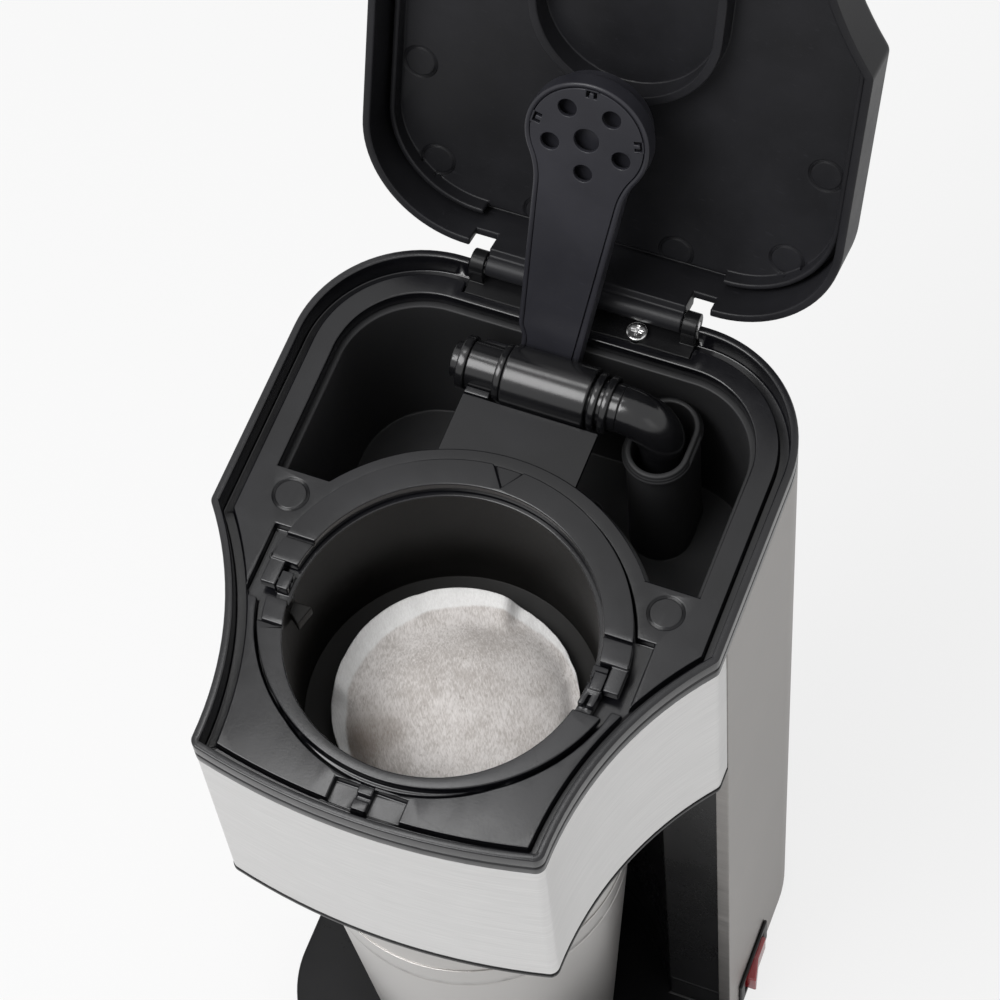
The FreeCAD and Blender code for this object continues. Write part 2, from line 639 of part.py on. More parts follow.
left_end = box(-half_width, 0, -front_depth, basket_y - 12.6, 0, body_height)
right_end = box(0, half_width, -front_depth, basket_y - 9.2, 0, body_height)
wide = wide.common(join([left_end, right_end]))
block = ring(0, basket_y, bore_radius, block_radius, step_z - 0.1, flange_top)
block = block.common(box(-half_width, 0, basket_y - 13, basket_y - 5.2, 0, body_height))
front_flange = join([front_flange, wide, block])
seams = [box(-half_width, 0, basket_y - 12.9, basket_y - 12.3, flange_top - 0.8, body_height),
         box(0, half_width, basket_y - 9.2, basket_y - 7.2, step_z + 0.6, body_height),
         ring(0, basket_y, 43.2, 44.0, step_z + 0.6, body_height).common(
             box(0, half_width, basket_y - 9.2, basket_y - 4.0, 0, body_height))]
front_flange = drill(front_flange, seams)
lug_in = bore_radius + 0.9
pivot_z = 0.5 * (step_z + flange_top) + 0.3
lugs = []
for sign in (-1, 1):
    x0, x1 = sorted((sign * lug_in, sign * (lug_in + 3.4)))
    lugs.append(box(x0, x1, basket_y - 2.6, basket_y + 2.6, seat_top, pivot_z + 1.8))
corners = [V(-bore_radius - 1, basket_y - 2, 0), V(-bore_radius + 5.2, basket_y - 2, 0),
           V(-bore_radius + 3.6, basket_y - 8.2, 0), V(-bore_radius - 0.5, basket_y - 5, 0)]
tab = Part.Face(Part.makePolygon(corners + corners[:1])).extrude(V(0, 0, 4))
tab.translate(V(0, 0, seat_top - 6))
basket = join([cup, low_flange, front_flange, tab] + lugs)
basket = basket.cut(bar(-half_width, half_width, basket_y, pivot_z, 1.2))
ribs = []
for n in range(4):
    rib = box(6, pod_radius - 4, -0.9, 0.9, pod_floor - 7.5, pod_floor + 1.0)
    rib.rotate(V(0, 0, 0), V(0, 0, 1), 45 + 90 * n)
    rib.translate(V(0, basket_y, 0))
    ribs.append(rib)
basket = join([basket] + ribs)
pieces["filter_basket"] = basket
bail = ring(0, basket_y, bail_inner, bail_outer, step_z + gap, body_height - 1.1)
bail = bail.common(behind(basket_y + 5.1, 0, 2 * body_height))
seam = box(-half_width, half_width, basket_y + 12.2, basket_y + 12.9, body_height - 2.6, body_height)
bail = bail.cut(seam)
bail = bail.cut(box(-half_width, 0, basket_y, basket_y + 12.3, body_height - 1.9, body_height))
ears = []
ear_in = lug_in + 3.4 + gap
for sign in (-1, 1):
    x0, x1 = sorted((sign * ear_in, sign * (bail_outer - 0.3)))
    ears.append(box(x0, x1, basket_y - 2.2, basket_y + 6.5, step_z + gap, pivot_z + 1.8))
    x0, x1 = sorted((sign * (lug_in + 0.6), sign * (ear_in + 0.5)))
    ears.append(bar(x0, x1, basket_y, pivot_z, 1.2 - slip))
bail = join([bail] + ears)
corners = [V(-4.5, basket_y + bail_outer, 0), V(4.5, basket_y + bail_outer, 0),
           V(0, basket_y + bail_inner + 1.5, 0)]
mark = Part.Face(Part.makePolygon(corners + corners[:1]))
mark.translate(V(0, 0, body_height - 2.0))
pieces["basket_bail"] = bail.cut(mark.extrude(V(0, 0, 5)))

# Soft coffee pod lying on the ribs
pod_low = pod_floor + 1.0 + gap
pod_flat = pod_radius - 6.5
pod_side = [(0, 0), (pod_flat - 3.5, 0), (pod_flat, 3), (pod_radius, 4.2), (pod_radius, 5), (pod_flat, 5.2),
            (pod_flat - 4.5, 9), (0.4 * pod_flat, 11.5), (0, 12)]
pieces["coffee_pod"] = spun([(r, pod_low + z) for r, z in pod_side], pod_x, pod_y)

# Steel travel mug: outer shell, liner, ringed collar and foot
mug_low = platform_top + gap
mug_top = head_low - 1.2 - mug_headroom
foot_top = mug_low + 9
collar_low = mug_top - collar_height
slope = (mug_radius - mug_foot_radius) / (collar_low - mug_low)


def mug_at(z):
    return mug_foot_radius + slope * (z - mug_low)


foot_radius_top = mug_at(foot_top)
pieces["mug_foot"] = spun([(0, mug_low), (mug_foot_radius - 1, mug_low), (foot_radius_top, foot_top),
                           (foot_radius_top - 3, foot_top), (foot_radius_top - 3, foot_top - 5),
                           (0, foot_top - 5)], 0, mug_y)
groove_z = collar_low - 13
pieces["mug_shell"] = spun([(foot_radius_top, foot_top), (mug_at(groove_z - 0.6), groove_z - 0.6),
                            (mug_at(groove_z) - 0.5, groove_z), (mug_at(groove_z + 0.6), groove_z + 0.6),
                            (mug_radius, collar_low), (mug_radius - mug_wall, collar_low),
                            (foot_radius_top - mug_wall, foot_top + mug_wall), (0, foot_top + mug_wall),
                            (0, foot_top)], 0, mug_y)
collar_in = mug_radius - 2.6
pieces["mug_collar"] = spun([(collar_in, collar_low), (mug_radius - 0.4, collar_low),
                             (mug_radius - 0.4, mug_top - 1), (mug_radius - 1, mug_top),
                             (mug_radius - 2, mug_top), (collar_in, mug_top - 1)], 0, mug_y)
liner_in = mug_radius - 5.2
pieces["mug_liner"] = spun([(0, foot_top + 4), (mug_foot_radius - 4, foot_top + 4), (liner_in, collar_low),
                            (liner_in, mug_top - 1.5), (collar_in, mug_top - 1.5),
                            (collar_in, collar_low - 1),
                            (liner_in + 1, collar_low - 1), (liner_in + 1, collar_low - 3),
                            (mug_foot_radius - 3, foot_top + 3), (0, foot_top + 3)], 0, mug_y)

# The footprint's centre goes to the origin
bounds = Part.makeCompound(list(pieces.values())).BoundBox
shift = V(0, -0.5 * (bounds.YMin + bounds.YMax), 0)
os.makedirs("parts", exist_ok=True)
for name, shape in pieces.items():
    shape = shape.copy()
    shape.translate(shift)
    shape.exportStep("parts/" + name + ".step")
    kinds = [s.isValid() for s in shape.Solids]
    print(name, len(kinds), all(kinds), round(shape.Volume), [round(v, 1) for v in (
        shape.BoundBox.YMin, shape.BoundBox.YMax, shape.BoundBox.ZMin, shape.BoundBox.ZMax)])
print("shift", round(shift.y, 3))
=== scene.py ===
import math

import bmesh
import bpy
from mathutils import Matrix, Vector, noise


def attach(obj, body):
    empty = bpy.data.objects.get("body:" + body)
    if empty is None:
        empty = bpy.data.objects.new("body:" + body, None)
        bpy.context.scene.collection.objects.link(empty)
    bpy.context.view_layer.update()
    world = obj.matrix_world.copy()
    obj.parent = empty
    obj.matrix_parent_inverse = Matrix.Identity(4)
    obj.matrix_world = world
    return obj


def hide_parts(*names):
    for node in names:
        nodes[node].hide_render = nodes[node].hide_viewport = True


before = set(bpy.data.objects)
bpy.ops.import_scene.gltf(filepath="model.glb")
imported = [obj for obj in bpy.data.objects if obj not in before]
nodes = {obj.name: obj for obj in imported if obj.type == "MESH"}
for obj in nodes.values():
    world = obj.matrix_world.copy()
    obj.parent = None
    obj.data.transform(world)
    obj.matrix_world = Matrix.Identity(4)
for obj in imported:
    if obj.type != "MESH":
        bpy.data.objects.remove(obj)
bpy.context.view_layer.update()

scene = bpy.context.scene
scene.view_settings.view_transform = "Standard"
mm = 0.001
shoulderY = -48.837 * mm   # where the plan is widest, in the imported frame


def at(x, y, z):   # millimetres from the shoulder line and the table
    return Vector((x * mm, y * mm + shoulderY, z * mm))


# camera where the photo was taken from: millimetres, degrees, millimetres of lens and sensor
cameraSet = {"place": (199.3, -349.3, 1086.3), "turn": (28.387, 3.593, 21.216), "lens": 119.83,
             "sensor": 36, "near": 10}


def addCamera(s):
    cam = bpy.data.cameras.new("photoCamera")
    cam.lens = s["lens"]
    cam.sensor_width = s["sensor"]
    cam.clip_start = s["near"] * mm
    obj = bpy.data.objects.new("photoCamera", cam)
    obj.location = at(*s["place"])
    obj.rotation_euler = [math.radians(a) for a in s["turn"]]
    scene.collection.objects.link(obj)
    scene.camera = obj


addCamera(cameraSet)

# soft boxes: the key from the left front, a small one above for the rims, a weak one on the right
lampSet = {
    "keySoftbox": {"place": (-430, -540, 1480), "look": (0, 0, 250), "size": (800, 700), "watts": 14.5},
    "topSoftbox": {"place": (-260, 250, 1450), "look": (20, -60, 300), "size": (260, 200), "watts": 1.05},
    "rightSoftbox": {"place": (900, -500, 900), "look": (0, 0, 200), "size": (400, 500), "watts": 0.3},
}


def addLamp(name, s):
    lamp = bpy.data.lights.new(name, "AREA")
    lamp.shape = "RECTANGLE"
    lamp.size, lamp.size_y = [v * mm for v in s["size"]]
    lamp.energy = s["watts"]
    obj = bpy.data.objects.new(name, lamp)
    obj.location = at(*s["place"])
    obj.rotation_euler = (at(*s["look"]) - at(*s["place"])).to_track_quat("-Z", "Y").to_euler()
    scene.collection.objects.link(obj)


for lampName, lampRow in lampSet.items():
    addLamp(lampName, lampRow)
print("camera and lamps", len(lampSet))


class Tap:   # one output of a shader tree, with arithmetic
    def __init__(self, tree, socket):
        self.tree = tree
        self.socket = socket

    def node(self, kind, settings=None, sockets=None, out=0):
        made = self.tree.nodes.new(kind)
        for key, value in (settings or {}).items():
            setattr(made, key, value)
        for key, value in (sockets or {}).items():
            if isinstance(value, Tap):
                self.tree.links.new(value.socket, made.inputs[key])
            else:
                made.inputs[key].default_value = value
        return Tap(self.tree, made.outputs[out])

    def maths(self, kind, a, b):
        return self.node("ShaderNodeMath", {"operation": kind}, {0: a, 1: b})

    def __add__(self, other):
        return self.maths("ADD", self, other)

    __radd__ = __add__

    def __sub__(self, other):
        return self.maths("SUBTRACT", self, other)

    def __rsub__(self, other):
        return self.maths("SUBTRACT", other, self)

    def __mul__(self, other):
        return self.maths("MULTIPLY", self, other)

    __rmul__ = __mul__


def newFinish(name):
    mat = bpy.data.materials.new(name)
    mat.use_nodes = True
    tree = mat.node_tree
    shader = tree.nodes["Principled BSDF"]
    coords = tree.nodes.new("ShaderNodeTexCoord")
    return mat, shader, Tap(tree, coords.outputs["Object"])


def link(shader, socket, tap):
    tap.tree.links.new(tap.socket, shader.inputs[socket])


def noiseTap(place, scale, detail=3.0, rough=0.55, stretch=None, turn=0):
    if turn:   # degrees round the upright axis, before the stretch
        angles = (0, 0, math.radians(turn))
        place = place.node("ShaderNodeMapping", None, {"Vector": place, "Rotation": angles})
    if stretch:
        place = place.node("ShaderNodeMapping", None, {"Vector": place, "Scale": stretch})
    return place.node("ShaderNodeTexNoise", None,
                      {"Vector": place, "Scale": scale, "Detail": detail, "Roughness": rough})


def ramp(tap, low, high, a=0.0, b=1.0):   # a smooth step from low to high
    return tap.node("ShaderNodeMapRange", {"interpolation_type": "SMOOTHSTEP"},
                    {"Value": tap, "From Min": low, "From Max": high, "To Min": a, "To Max": b})


def blendColour(tap, first, second):   # each a colour or another tap
    pair = [c if isinstance(c, Tap) else (*c, 1) for c in (first, second)]
    return tap.node("ShaderNodeMix", {"data_type": "RGBA"}, {"Factor": tap, 6: pair[0], 7: pair[1]}, 2)


def bumpTap(tap, strength, depth):
    return tap.node("ShaderNodeBump", None, {"Height": tap, "Strength": strength, "Distance": depth * mm})


def distanceTap(place, point):
    return place.node("ShaderNodeVectorMath", {"operation": "DISTANCE"}, {0: place, 1: point}, 1)


# what every moulded plastic shares: clouds in its gloss and hair scratches in two directions
plasticSet = {"cloud": 22.0, "hair": 60.0, "hairTurn": 14, "hairTurn2": 9,
              "cloudTone": 0.75, "scuffTone": 0.6, "glossLow": -0.05, "glossHigh": 0.07,
              "grainRough": 0.06, "scuffRough": 0.12, "depth": 0.06, "shine": 0.5}


def plasticFinish(s):
    p = plasticSet
    mat, shader, place = newFinish(s["name"])
    grain = noiseTap(place, s["grain"], 2.0)
    cloud = noiseTap(place, p["cloud"], 5.0, 0.6)
    hair = ramp(noiseTap(place, p["hair"], 1.0, 0.4, (1, 24, 24), p["hairTurn"]), 0.70, 0.78)
    hair2 = ramp(noiseTap(place, p["hair"], 1.0, 0.4, (24, 1.3, 24), p["hairTurn2"]), 0.71, 0.80)
    marks = (hair + hair2) * s["scuff"]
    tone = ramp(cloud, 0.3, 0.75) * p["cloudTone"] + marks * p["scuffTone"]
    gloss = ramp(cloud, 0.25, 0.8, s["rough"] + p["glossLow"], s["rough"] + p["glossHigh"])
    link(shader, "Base Color", blendColour(tone, s["dark"], s["light"]))
    link(shader, "Roughness", gloss + grain * p["grainRough"] + marks * p["scuffRough"])
    link(shader, "Normal", bumpTap(grain, s["bump"], p["depth"]))
    shader.inputs["Specular IOR Level"].default_value = s.get("shine", p["shine"])
    return mat


# what every steel shares: how fine and broad brushing mix, clouds in its gloss
steelSet = {"fineTone": 0.7, "broadTone": 0.3, "cloud": 14.0, "cloudRough": 0.05, "depth": 0.04}


def steelFinish(s):   # sheet steel with brushing along one direction
    p = steelSet
    mat, shader, place = newFinish(s["name"])
    fine = noiseTap(place, 1.0, 2.0, 0.5, s["fine"])
    broad = noiseTap(place, 1.0, 3.0, 0.6, s["broad"])
    cloud = noiseTap(place, p["cloud"], 3.0)
    tone = fine * p["fineTone"] + broad * p["broadTone"]
    gloss = ramp(tone, 0.3, 0.7, s["rough"] - s["vary"], s["rough"] + s["vary"])
    link(shader, "Base Color", blendColour(ramp(tone, 0.3, 0.7), s["dark"], s["light"]))
    link(shader, "Roughness", gloss + cloud * p["cloudRough"])
    link(shader, "Normal", bumpTap(fine, s["bump"], p["depth"]))
    shader.inputs["Metallic"].default_value = 1.0
    return mat


rubberSet = {"grain": 900.0, "cloud": 40.0, "vary": 0.15, "bump": 0.25, "depth": 0.1}


def rubberFinish(s):   # rubber, silicone and the thermostat's fired clay
    p = rubberSet
    mat, shader, place = newFinish(s["name"])
    grain = noiseTap(place, p["grain"], 3.0)
    cloud = noiseTap(place, p["cloud"], 4.0)
    link(shader, "Base Color", blendColour(cloud, s["dark"], s["light"]))
    link(shader, "Roughness", cloud * p["vary"] + s["rough"])
    link(shader, "Normal", bumpTap(grain, p["bump"], p["depth"]))
    return mat


def paperFinish(s):   # matted filter paper, its body stained by the coffee inside, its rim clean
    mat, shader, place = newFinish(s["name"])
    fibre = noiseTap(place, s["fibre"], 4.0, 0.6, (1, 0.2, 1), s["fibreTurn"])
    fibre2 = noiseTap(place, s["fibre2"], 5.0, 0.65, (1, 0.3, 1), s["fibreTurn2"])
    blot = noiseTap(place, s["blot"], 6.0, 0.65)
    fleck = ramp(noiseTap(place, s["fleckSize"], 2.0, 0.5), 0.66, 0.76)
    strands = fibre * 0.55 + fibre2 * 0.45
    ring, edge = s["ring"] * mm, s["ringEdge"] * mm
    inside = ramp(distanceTap(place, s["middle"]) + blot * 0.002, ring + edge, ring - edge)
    near, far = [v * mm for v in s["dampReach"]]
    damp = ramp(distanceTap(place, s["damp"]) + blot * 0.012, far, near, 0.0, s["dampTone"])
    tone = ramp(strands * 0.75 + blot * 0.4, 0.44, 0.7)
    body = blendColour(damp, blendColour(tone, s["dark"], s["light"]), s["fleck"])
    rim = blendColour(ramp(strands, 0.35, 0.65), s["rimDark"], s["rimLight"])
    shade = blendColour(fleck * inside * s["fleckTone"], blendColour(inside, rim, body), s["fleck"])
    link(shader, "Base Color", shade)
    link(shader, "Normal", bumpTap(strands + blot * 0.4, s["bump"], s["depth"]))
    shader.inputs["Roughness"].default_value = s["rough"]
    shader.inputs["Specular IOR Level"].default_value = s["shine"]
    return mat


def glowFinish(s):   # clear red plastic of the rocker
    mat, shader, place = newFinish(s["name"])
    cloud = noiseTap(place, s["cloud"], 3.0)
    link(shader, "Base Color", blendColour(cloud, s["dark"], s["light"]))
    link(shader, "Roughness", cloud * s["vary"] + s["rough"])
    shader.inputs["Coat Weight"].default_value = s["coat"]
    return mat


finishes = {
    "deck": plasticFinish({
        "name": "deckPlastic", "dark": (0.003, 0.003, 0.004), "light": (0.009, 0.009, 0.0115),
        "rough": 0.17, "grain": 1500.0, "bump": 0.16, "scuff": 0.25}),
    "basket": plasticFinish({
        "name": "basketPlastic", "dark": (0.003, 0.003, 0.004), "light": (0.009, 0.009, 0.0115),
        "rough": 0.17, "grain": 1500.0, "bump": 0.16, "scuff": 0.3}),
    "bowl": plasticFinish({
        "name": "bowlPlastic", "dark": (0.006, 0.0057, 0.0053), "light": (0.014, 0.0133, 0.0125),
        "rough": 0.42, "grain": 900.0, "bump": 0.12, "scuff": 0.5, "shine": 0.16}),
    "lid": plasticFinish({
        "name": "lidPlastic", "dark": (0.011, 0.011, 0.0125), "light": (0.023, 0.023, 0.0265),
        "rough": 0.36, "grain": 1300.0, "bump": 0.14, "scuff": 0.8, "shine": 0.2}),
    "arm": plasticFinish({
        "name": "armPlastic", "dark": (0.02, 0.02, 0.025), "light": (0.035, 0.035, 0.043),
        "rough": 0.33, "grain": 1400.0, "bump": 0.1, "scuff": 0.5, "shine": 0.3}),
    "tank": plasticFinish({
        "name": "tankPlastic", "dark": (0.022, 0.022, 0.023), "light": (0.032, 0.032, 0.034),
        "rough": 0.5, "grain": 900.0, "bump": 0.12, "scuff": 0.3, "shine": 0.3}),
    "body": plasticFinish({
        "name": "bodyPlastic", "dark": (0.006, 0.006, 0.0065), "light": (0.011, 0.011, 0.012),
        "rough": 0.26, "grain": 1500.0, "bump": 0.12, "scuff": 0.4, "shine": 0.17}),
    "pipe": plasticFinish({
        "name": "pipePlastic", "dark": (0.006, 0.006, 0.007), "light": (0.012, 0.012, 0.013),
        "rough": 0.16, "grain": 500.0, "bump": 0.03, "scuff": 0.3}),
    "steel": steelFinish({
        "name": "wrapSteel", "dark": (0.64, 0.635, 0.63), "light": (0.745, 0.74, 0.735),
        "rough": 0.34, "fine": (90, 90, 3200), "broad": (9, 9, 420), "bump": 0.08, "vary": 0.06}),
    # side panels: the wrap's brushed steel with its colour painted darker, a painted shade for the side the
    # light reaches less
    "panel": steelFinish({
        "name": "panelSteel", "dark": (0.31, 0.297, 0.285), "light": (0.405, 0.388, 0.375),
        "rough": 0.38, "fine": (120, 120, 2600), "broad": (14, 14, 420), "bump": 0.12, "vary": 0.06}),
    "mug": steelFinish({
        "name": "mugSteel", "dark": (0.46, 0.447, 0.434), "light": (0.48, 0.466, 0.453),
        "rough": 0.27, "fine": (12, 12, 2600), "broad": (2, 2, 160), "bump": 0.006, "vary": 0.012}),
    "bright": steelFinish({
        "name": "brightSteel", "dark": (0.60, 0.60, 0.60), "light": (0.74, 0.74, 0.74),
        "rough": 0.2, "fine": (900, 900, 900), "broad": (80, 80, 80), "bump": 0.03, "vary": 0.06}),
    "cast": steelFinish({
        "name": "castMetal", "dark": (0.45, 0.45, 0.46), "light": (0.6, 0.6, 0.61),
        "rough": 0.5, "fine": (1200, 1200, 1200), "broad": (120, 120, 120), "bump": 0.3, "vary": 0.06}),
    "rubber": rubberFinish({
        "name": "footRubber", "dark": (0.012, 0.012, 0.012), "light": (0.022, 0.022, 0.022),
        "rough": 0.7}),
    "hose": rubberFinish({
        "name": "hoseSilicone", "dark": (0.55, 0.54, 0.5), "light": (0.68, 0.67, 0.63),
        "rough": 0.45}),
    "clay": rubberFinish({
        "name": "thermostatBody", "dark": (0.6, 0.57, 0.5), "light": (0.7, 0.67, 0.6),
        "rough": 0.5}),
    "paper": paperFinish({
        "name": "podPaper", "dark": (0.5, 0.462, 0.435), "light": (0.8, 0.765, 0.745),
        "rimDark": (0.83, 0.82, 0.81), "rimLight": (0.93, 0.925, 0.915),
        "middle": at(5.1, -18.2, 264), "ring": 33.85, "ringEdge": 0.55,
        "damp": at(-19.5, -35, 264), "dampReach": (6, 25), "dampTone": 0.8,
        "fibre": 2600.0, "fibreTurn": -36, "fibre2": 1900.0, "fibreTurn2": -8, "blot": 75.0,
        "fleck": (0.2, 0.16, 0.13), "fleckSize": 700.0, "fleckTone": 0.3,
        "bump": 0.4, "depth": 0.4, "rough": 0.92, "shine": 0.2}),
    "red": glowFinish({
        "name": "rockerRed", "dark": (0.36, 0.012, 0.02), "light": (0.5, 0.03, 0.04),
        "cloud": 160.0, "rough": 0.12, "vary": 0.1, "coat": 0.5}),
}
print("finishes", len(finishes))

# floor and surroundings: lift and mirror are the share of plain white for the camera and for metal,
# world is the strength of the light from all round
floorSet = {"half": 4000, "colour": (0.88, 0.88, 0.88), "rough": 0.9, "shine": 0.1,
            "lift": 0.8, "mirror": 0.36, "world": 0.36}


def seenBy(place, camera, mirror):   # one value for the camera's rays, another for those of metal and glass
    names = ("Is Camera Ray", "Is Glossy Ray", "Is Transmission Ray")
    rays = [place.node("ShaderNodeLightPath", out=name) for name in names]
    return rays[0] * camera + (rays[1] + rays[2]) * mirror


def addFloor(s):
    bm = bmesh.new()
    bmesh.ops.create_grid(bm, x_segments=1, y_segments=1, size=s["half"] * mm)
    mesh = bpy.data.meshes.new("floor")
    bm.to_mesh(mesh)
    bm.free()
    floor = bpy.data.objects.new("floor", mesh)
    scene.collection.objects.link(floor)
    mat, shader, place = newFinish("floorPaper")
    shader.inputs["Base Color"].default_value = (*s["colour"], 1)
    shader.inputs["Roughness"].default_value = s["rough"]
    shader.inputs["Specular IOR Level"].default_value = s["shine"]
    seen = seenBy(place, s["lift"], s["mirror"])   # nearly white, with a light shadow
    white = place.node("ShaderNodeEmission", None, {"Color": (1, 1, 1, 1), "Strength": 1.0})
    plain = Tap(mat.node_tree, shader.outputs[0])
    mixed = place.node("ShaderNodeMixShader", None, {0: seen, 1: plain, 2: white})
    link(mat.node_tree.nodes["Material Output"], "Surface", mixed)
    mesh.materials.append(mat)


def addWorld(s):   # white to the camera and to metal, dimmer as a light
    world = bpy.data.worlds.new("studio")
    world.use_nodes = True
    back = world.node_tree.nodes["Background"]
    back.inputs["Color"].default_value = (1, 1, 1, 1)
    rest = 1 - s["world"]
    link(back, "Strength", seenBy(Tap(world.node_tree, None), rest, rest) + s["world"])
    scene.world = world


addFloor(floorSet)
addWorld(floorSet)
print("floor and world")


def keep(bm, name, finish, body, node, smooth=40):   # a bmesh becomes the piece that stands for a node
    mesh = bpy.data.meshes.new(name)
    bm.to_mesh(mesh)
    bm.free()
    mesh.shade_smooth()
    mesh.set_sharp_from_angle(angle=math.radians(smooth))
    mesh.materials.append(finishes[finish])
    obj = bpy.data.objects.new(name, mesh)
    scene.collection.objects.link(obj)
    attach(obj, body)
    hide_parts(node)
    return obj


# moulded and pressed pieces take their shape from the frame's nodes and get rounded edges
softened = {
    "top_frame": {"body": "housing", "finish": "deck", "slot": "satin_plastic", "round": 0.45},
    "filter_basket": {"body": "basket", "finish": "basket", "slot": "satin_plastic", "round": 0.4},
    "basket_bail": {"body": "bail", "finish": "deck", "slot": "satin_plastic", "round": 0.4},
    "pipe_saddle": {"body": "housing", "finish": "deck", "slot": "satin_plastic", "round": 0.4},
    "hinge_bracket": {"body": "housing", "finish": "body", "slot": "satin_plastic", "round": 0.3},
    "lid_shell": {"body": "lid", "finish": "lid", "slot": "dark_plastic", "round": 0.5},
    "lid_liner": {"body": "lid", "finish": "lid", "slot": "dark_plastic", "round": 0.5},
    "spray_arm": {"body": "arm", "finish": "arm", "slot": "dark_plastic", "round": 0.6},
    "spray_plate": {"body": "arm", "finish": "arm", "slot": "dark_plastic", "round": 0.25},
    "water_tank": {"body": "housing", "finish": "tank", "slot": "dark_plastic", "round": 0.5},
    "spray_pipe": {"body": "housing", "finish": "pipe", "slot": "gloss_black", "round": 0.4},
    "elbow_pipe": {"body": "housing", "finish": "pipe", "slot": "gloss_black", "round": 0.3},
    "pipe_cap": {"body": "housing", "finish": "pipe", "slot": "gloss_black", "round": 0.5},
    "riser_pipe": {"body": "housing", "finish": "pipe", "slot": "gloss_black", "round": 0.3},
    "pipe_seals": {"body": "housing", "finish": "pipe", "slot": "rubber", "round": 0.6},
    "head_wrap": {"body": "housing", "finish": "steel", "slot": "brushed_steel", "round": 0.45},
    "side_panel_left": {"body": "housing", "finish": "panel", "slot": "brushed_steel", "round": 0.2},
    "side_panel_right": {"body": "housing", "finish": "panel", "slot": "brushed_steel", "round": 0.2},
    "head_shell": {"body": "housing", "finish": "body", "slot": "black_plastic", "round": 0.4},
    "head_trim": {"body": "housing", "finish": "body", "slot": "black_plastic", "round": 0.4},
    "column_shell": {"body": "housing", "finish": "body", "slot": "black_plastic", "round": 0.5},
    "base_shell": {"body": "housing", "finish": "body", "slot": "black_plastic", "round": 1.0},
    "bottom_cover": {"body": "housing", "finish": "body", "slot": "black_plastic", "round": 0.4},
    "switch_housing": {"body": "housing", "finish": "body", "slot": "black_plastic", "round": 0.5},
    "switch_rocker": {"body": "rocker", "finish": "red", "slot": "red_plastic", "round": 0.6},
    "cable_gland": {"body": "housing", "finish": "rubber", "slot": "black_plastic", "round": 0.6},
    "mug_shell": {"body": "mug", "finish": "mug", "slot": "mug_steel", "round": 0.2},
    "mug_collar": {"body": "mug", "finish": "mug", "slot": "mug_steel", "round": 0.4},
    "mug_liner": {"body": "mug", "finish": "bright", "slot": "liner_steel", "round": 0.3},
    "mug_foot": {"body": "mug", "finish": "rubber", "slot": "rubber", "round": 0.6},
    "rubber_feet": {"body": "housing", "finish": "rubber", "slot": "rubber", "round": 0.8},
    "hinge_screws": {"body": "housing", "finish": "bright", "slot": "plated_steel", "round": 0.25},
    "hinge_pin": {"body": "housing", "finish": "bright", "slot": "plated_steel", "round": 0.3},
}
softenSet = {"weld": 0.002, "corner": 38, "segments": 2}   # millimetres, degrees


def pieceName(node):   # top_frame is topFrame
    first, *others = node.split("_")
    return first + "".join(word.capitalize() for word in others)


def addSoftened(node, s):
    bm = bmesh.new()
    bm.from_mesh(nodes[node].data)
    bmesh.ops.remove_doubles(bm, verts=bm.verts, dist=softenSet["weld"] * mm)
    corner = math.radians(softenSet["corner"])
    sharp = [e for e in bm.edges if e.is_manifold and e.calc_face_angle(0) > corner]
    bmesh.ops.bevel(bm, geom=sharp, offset=s["round"] * mm, offset_type="OFFSET", affect="EDGES",
                    segments=softenSet["segments"], profile=0.5, material=-1,
                    clamp_overlap=False, loop_slide=False)
    obj = keep(bm, pieceName(node), s["finish"], s["body"], node)
    even = obj.modifiers.new("evenNormals", "WEIGHTED_NORMAL")
    even.keep_sharp = True


for softNode, softRow in softened.items():
    addSoftened(softNode, softRow)
print("softened", len(softened))


def addZone(piece, finish, inside):   # part of a piece with another finish
    mesh = bpy.data.objects[piece].data
    mesh.materials.append(finishes[finish])
    for face in mesh.polygons:
        if inside(face.center):
            face.material_index = 1


# the arm's sleeve round the pipe is polished, the basket's bowl is dull
sleeve = {"axis": at(0, 66.0, 302.0), "reach": 9.6 * mm}
addZone("sprayArm", "pipe", lambda c: (c - sleeve["axis"]).yz.length < sleeve["reach"])
bowl = {"axis": at(0, -14.8, 0), "reach": 41.75 * mm, "top": 301.5 * mm}
addZone("filterBasket", "bowl",
        lambda c: (c - bowl["axis"]).xy.length < bowl["reach"] and c.z < bowl["top"])

# soft pod: a stuffed lens of paper with a crimped rim, swollen by the cloth solver
podSet = {
    "x": 0.8, "y": -14.8, "body": 29.6, "rim": 34.4,
    "low": 258.2, "high": 270.4, "rimLow": 261.9, "rimHigh": 262.6,
    "belly": 4, "crown": 2.5, "crimp": (0.35, 0.7, 1), "rings": 14, "steps": 128, "weld": 0.02,
    "scale": 10.0, "pressure": 5.0, "tension": 20, "bending": 0.3, "quality": 6, "frames": 16, "cap": 2.2,
    "held": (-1, 4), "loose": (-2, 6),   # from the body's edge outwards: where it starts, over how much
    "raised": (80, 198), "raise": 3.8,   # the rear left of the rim stands up, in degrees
    "sink": 1.4, "fade": 5, "pull": 0.9,
    "waves": ((3.2, 4.0, 1.0), (9, 9.0, 0.6)),   # turns, layer and height of each wave round the rim
    "waveHigh": 0.8, "waveIn": 0.5,
    "slide": (3.2, -3.8), "lumps": ((90, 0.35), (260, 0.18)),   # the filling has slumped to one side
    "fill": 0.6,
}


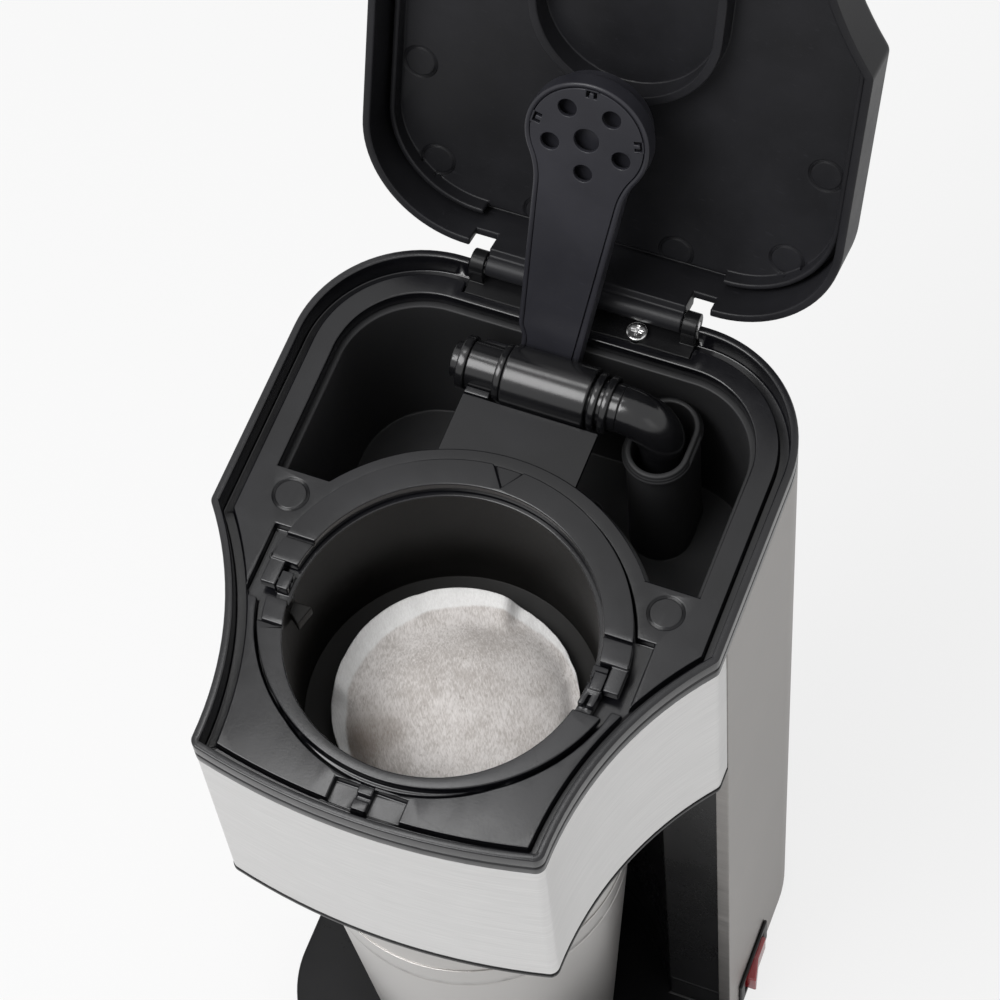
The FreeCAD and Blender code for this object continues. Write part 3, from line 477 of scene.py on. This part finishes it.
def podStart(s):   # half section spun round the upright axis
    bm = bmesh.new()
    parts = [n / s["rings"] for n in range(s["rings"] + 1)]
    under = s["rimLow"] - s["low"]
    over = s["high"] - s["rimHigh"]
    crimp = [s["body"] + part * (s["rim"] - s["body"]) for part in s["crimp"]]
    side = [(s["body"] * p, s["rimLow"] - under * (1 - p ** s["belly"])) for p in parts]
    side += [(r, s["rimLow"]) for r in crimp] + [(r, s["rimHigh"]) for r in reversed(crimp)]
    side += [(s["body"] * p, s["rimHigh"] + over * (1 - p ** s["crown"])) for p in reversed(parts)]
    verts = [bm.verts.new(at(s["x"] + r, s["y"], z)) for r, z in side]
    edges = [bm.edges.new(pair) for pair in zip(verts, verts[1:])]
    bmesh.ops.spin(bm, geom=verts + edges, cent=at(s["x"], s["y"], 0), axis=(0, 0, 1), angle=math.tau,
                   steps=s["steps"], use_merge=True)
    bmesh.ops.remove_doubles(bm, verts=bm.verts, dist=s["weld"] * mm)
    bmesh.ops.recalc_face_normals(bm, faces=bm.faces)
    return bm


def share(away, s, span):   # 0 on the body to 1 on the rim
    begin, over = s[span]
    return min(1.0, max(0.0, (away - s["body"] - begin) / over))


def swell(bm, s):   # cloth with inner pressure, worked at a larger size, then each point's travel is capped
    middle = at(s["x"], s["y"], s["rimLow"])
    start = [v.co.copy() for v in bm.verts]
    mesh = bpy.data.meshes.new("podCloth")
    larger = Matrix.Scale(s["scale"], 4) @ Matrix.Translation(-middle)
    bmesh.ops.transform(bm, verts=bm.verts, matrix=larger)
    bm.to_mesh(mesh)
    obj = bpy.data.objects.new("podCloth", mesh)
    scene.collection.objects.link(obj)
    held = obj.vertex_groups.new(name="held")
    for v in mesh.vertices:
        away = math.hypot(v.co.x, v.co.y) / (s["scale"] * mm)
        held.add([v.index], share(away, s, "held"), "REPLACE")
    cloth = obj.modifiers.new("cloth", "CLOTH")
    cloth.settings.quality = s["quality"]
    cloth.settings.use_pressure = True
    cloth.settings.uniform_pressure_force = s["pressure"]
    cloth.settings.vertex_group_mass = "held"
    cloth.settings.tension_stiffness = s["tension"]
    cloth.settings.bending_stiffness = s["bending"]
    cloth.settings.effector_weights.gravity = 0
    cloth.point_cache.frame_start = 1
    cloth.point_cache.frame_end = s["frames"]
    for n in range(1, s["frames"] + 1):
        scene.frame_set(n)
    shape = obj.evaluated_get(bpy.context.evaluated_depsgraph_get()).data
    for v, old, new in zip(bm.verts, start, shape.vertices):
        move = new.co / s["scale"] + middle - old
        if move.length > s["cap"] * mm:
            move = move.normalized() * s["cap"] * mm
        v.co = old + move
    scene.frame_set(1)
    bpy.data.objects.remove(obj)
    bpy.data.meshes.remove(mesh)


def crumple(bm, s):   # creases of the damp paper, deepest round the rim
    first, last = s["raised"]
    for v in bm.verts:
        local = v.co - at(s["x"], s["y"], 0)
        turn = math.atan2(local.y, local.x)
        rim = share(local.xy.length / mm, s, "loose")
        wave = 0
        for turns, layer, height in s["waves"]:
            wave += height * noise.noise(Vector((turns * math.cos(turn), turns * math.sin(turn), layer)))
        along = math.degrees(turn) % 360
        back = min(1.0, max(0.0, (along - first) / s["fade"]), max(0.0, (last - along) / s["fade"]))
        v.co.z += mm * rim * (s["waveHigh"] * wave + s["raise"] * back - s["sink"] * (1 - back))
        v.co.xy -= local.xy.normalized() * mm * rim * (s["waveIn"] * abs(wave) + s["pull"] * back)
        v.co.xy += Vector(s["slide"]) * mm * (1 - rim)
        for fineness, height in s["lumps"]:
            v.co.z += mm * (1 - rim) * height * noise.noise(v.co * fineness)


def addPod(s):
    bm = podStart(s)
    swell(bm, s)
    crumple(bm, s)
    pod = keep(bm, "coffeePod", "paper", "pod", "coffee_pod", 80)
    fine = pod.modifiers.new("fine", "SUBSURF")
    fine.levels = fine.render_levels = 1
    print("pod", len(pod.data.vertices))


addPod(podSet)

# pieces inside keep the frame's mesh
inner = {"bottom_screws": "bright", "flow_heater": "cast", "heater_clip": "bright", "thermostat": "clay",
         "thermal_fuse": "bright", "inlet_hose": "hose", "tank_hose": "hose", "outlet_hose": "hose",
         "check_valve": "hose"}
for innerNode, innerFinish in inner.items():
    for slot in nodes[innerNode].material_slots:
        slot.material = finishes[innerFinish]
print("inner pieces", len(inner))
